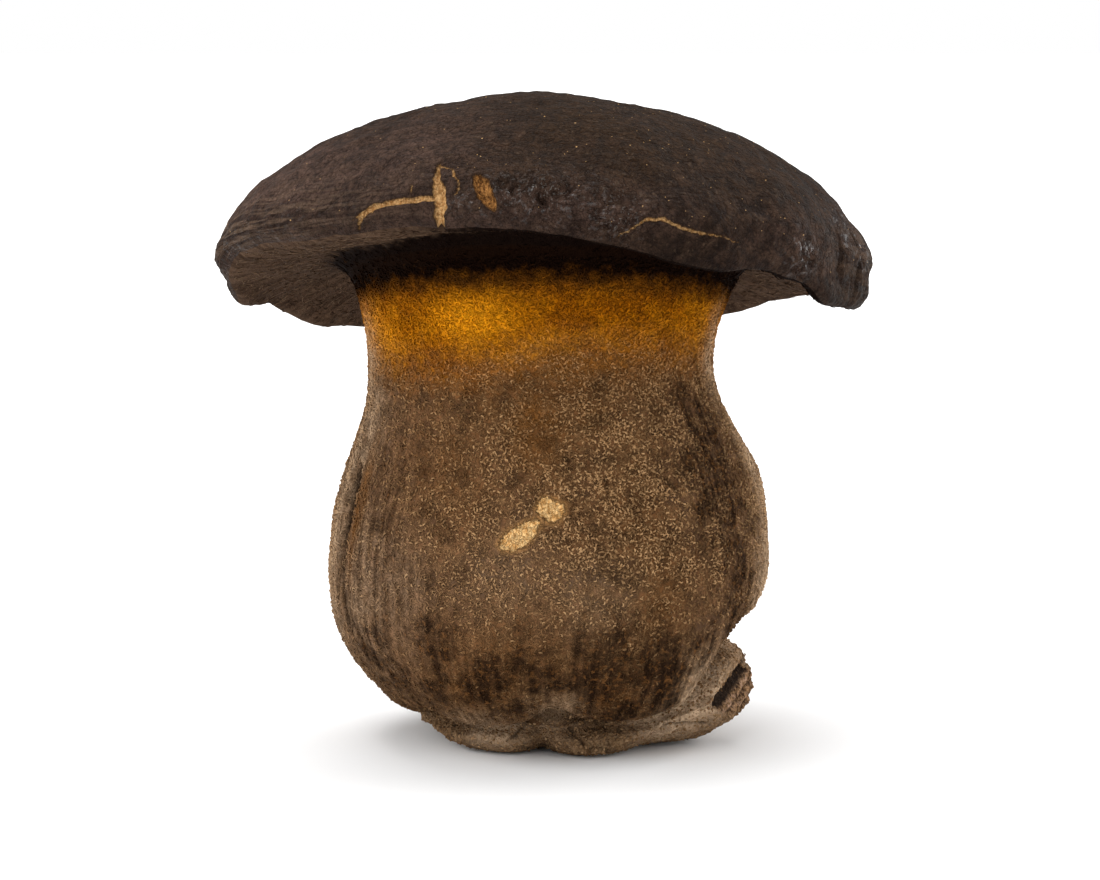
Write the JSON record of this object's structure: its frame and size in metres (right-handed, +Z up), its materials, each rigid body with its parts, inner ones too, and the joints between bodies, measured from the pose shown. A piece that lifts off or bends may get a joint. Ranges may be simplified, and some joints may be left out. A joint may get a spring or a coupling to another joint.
{
  "type": "black bolete",
  "caption": "Whole black bolete mushroom: domed dark cap with a wavy rolled margin on a golden neck, a bulbous brown felted stem and a lobed foot with a cut stub; it stands on a flat sole.",
  "frame": {"origin": "middle of the flat sole, on the surface that the mushroom stands on", "axes": "+Z up along the stem, -Y towards the front that the picture shows, +X to the right with the cut stub"},
  "size_m": [0.0997, 0.0907, 0.0986],
  "materials": {
    "mushroom_skin": "dry matte felted skin, black-brown and faintly glossy on the cap, golden at the neck"
  },
  "bodies": {
    "root": {"black_bolete": "mushroom_skin"}
  },
  "joints": []
}
